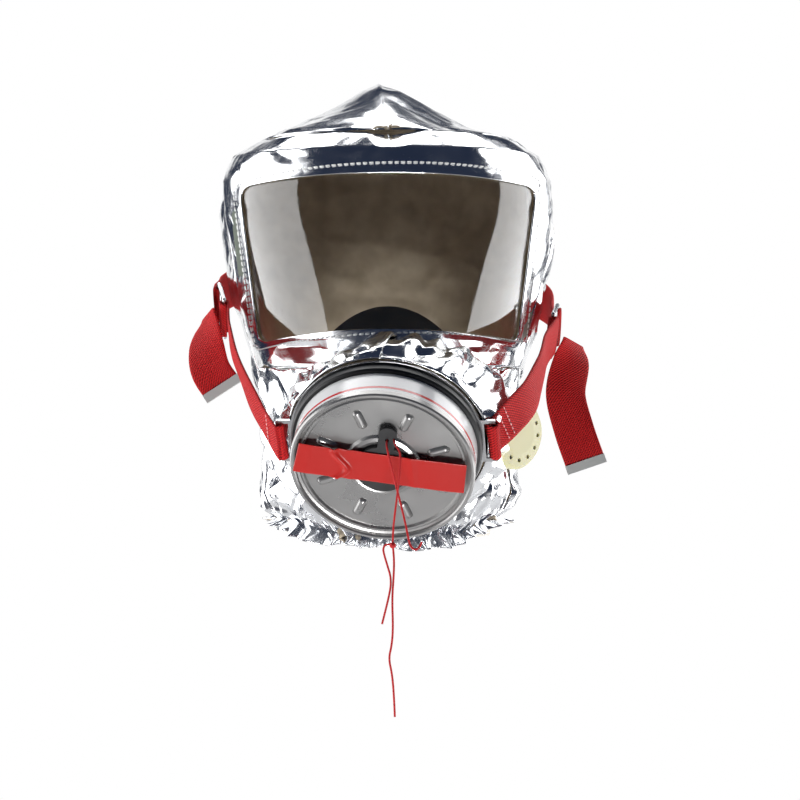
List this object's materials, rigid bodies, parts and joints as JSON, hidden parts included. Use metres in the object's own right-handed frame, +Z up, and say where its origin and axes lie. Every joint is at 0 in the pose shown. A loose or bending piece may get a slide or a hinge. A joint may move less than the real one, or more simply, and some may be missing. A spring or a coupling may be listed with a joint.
{
  "type": "smoke hood",
  "caption": "Escape smoke hood of aluminised cloth with a clear visor, an inner half mask, a round filter canister with a pull plug and thread, a side valve and a webbing head harness.",
  "frame": {"origin": "centre of the neck opening, in the plane of the hood's lower edge", "axes": "+Z up along the wearer's neck, the wearer looks along -Y, +X is to the right as seen from in front"},
  "size_m": [0.2148, 0.2815, 0.3154],
  "materials": {
    "foil_cloth": "aluminised, crinkled, mirror-like",
    "beige_cloth": "matt woven",
    "visor_sheet": "clear flexible sheet, glossy",
    "tape_film": "adhesive film",
    "black_rubber": "satin",
    "lid_steel": "grey lacquer, semi-matt",
    "can_steel": "white lacquer, glossy",
    "band_print": "white band with a plain red stripe",
    "zinc_steel": "zinc plated",
    "filter_paper": "matt",
    "drying_grain": "granular",
    "catalyst_grain": "granular",
    "carbon_grain": "granular",
    "valve_rubber": "soft",
    "valve_plastic": "cream, slightly translucent",
    "red_webbing": "woven",
    "wire_steel": "nickel plated",
    "crimp_steel": "pressed",
    "red_tape": "plain adhesive tape",
    "red_thread": "twisted thread",
    "elastic": "braided elastic"
  },
  "bodies": {
    "hood": {"front_panel": "foil_cloth", "lower_front_panel": "foil_cloth", "left_side_panel": "foil_cloth", "right_side_panel": "foil_cloth", "back_panel": "foil_cloth", "left_crown_panel": "foil_cloth", "right_crown_panel": "foil_cloth", "left_chin_gusset": "foil_cloth", "right_chin_gusset": "foil_cloth", "gusset_rim": "foil_cloth", "neck_frill": "foil_cloth", "neck_elastic": "elastic", "neck_collar": "beige_cloth", "visor": "visor_sheet", "visor_tape": "tape_film", "half_mask": "black_rubber", "mask_port_band": "zinc_steel", "canister_holder": "black_rubber", "harness_plate": "zinc_steel", "gusset_clamp_ring": "zinc_steel", "canister_gasket": "black_rubber", "canister_shell": "can_steel", "canister_front_lid": "lid_steel", "canister_band": "band_print", "screens": "zinc_steel", "particle_filter": "filter_paper", "drying_bed": "drying_grain", "catalyst_bed": "catalyst_grain", "carbon_bed": "carbon_grain", "inhalation_valve_seat": "valve_plastic", "exhalation_valve_body": "valve_plastic", "exhalation_cover": "valve_plastic", "exhalation_port_band": "zinc_steel", "left_front_strap": "red_webbing", "right_front_strap": "red_webbing", "rear_head_strap": "red_webbing", "left_buckle": "wire_steel", "right_buckle": "wire_steel"},
    "front_plug": {"front_plug": "black_rubber", "seal_tape": "red_tape", "pull_thread_left": "red_thread", "pull_thread_right": "red_thread", "pull_thread_knot": "red_thread", "pull_thread_short_tail": "red_thread", "pull_thread_long_tail": "red_thread"},
    "rear_plug": {"rear_plug": "black_rubber"},
    "inhalation_flap": {"inhalation_flap": "valve_rubber"},
    "exhalation_flap": {"exhalation_flap": "valve_rubber"},
    "left_strap_tail": {"left_strap_tail": "red_webbing", "left_strap_tip": "crimp_steel"},
    "right_strap_tail": {"right_strap_tail": "red_webbing", "right_strap_tip": "crimp_steel"}
  },
  "joints": [
    {"name": "front_plug_pull", "type": "slide", "parent": "hood", "child": "front_plug", "axis": [-0.1093, -0.7879, -0.606], "range_m": [0, 0.024]},
    {"name": "rear_plug_pull", "type": "slide", "parent": "hood", "child": "rear_plug", "axis": [0.1093, 0.7879, 0.606], "range_m": [0, 0.014]},
    {"name": "inhalation_flap_lift", "type": "slide", "parent": "hood", "child": "inhalation_flap", "axis": [0.1093, 0.7879, 0.606], "range_m": [0, 0.0018], "stiffness_N_per_m": 20},
    {"name": "exhalation_flap_lift", "type": "slide", "parent": "hood", "child": "exhalation_flap", "axis": [0.7036, -0.7036, -0.0993], "range_m": [0, 0.0012], "stiffness_N_per_m": 20},
    {"name": "left_tail_swing", "type": "hinge", "parent": "hood", "child": "left_strap_tail", "pos_m": [-0.0924, -0.043, 0.116], "axis": [-0.3502, 0.7505, -0.5604], "range_deg": [0, 50]},
    {"name": "right_tail_swing", "type": "hinge", "parent": "hood", "child": "right_strap_tail", "pos_m": [0.0958, -0.036, 0.102], "axis": [-0.5185, -0.8296, -0.2074], "range_deg": [0, 50]}
  ]
}
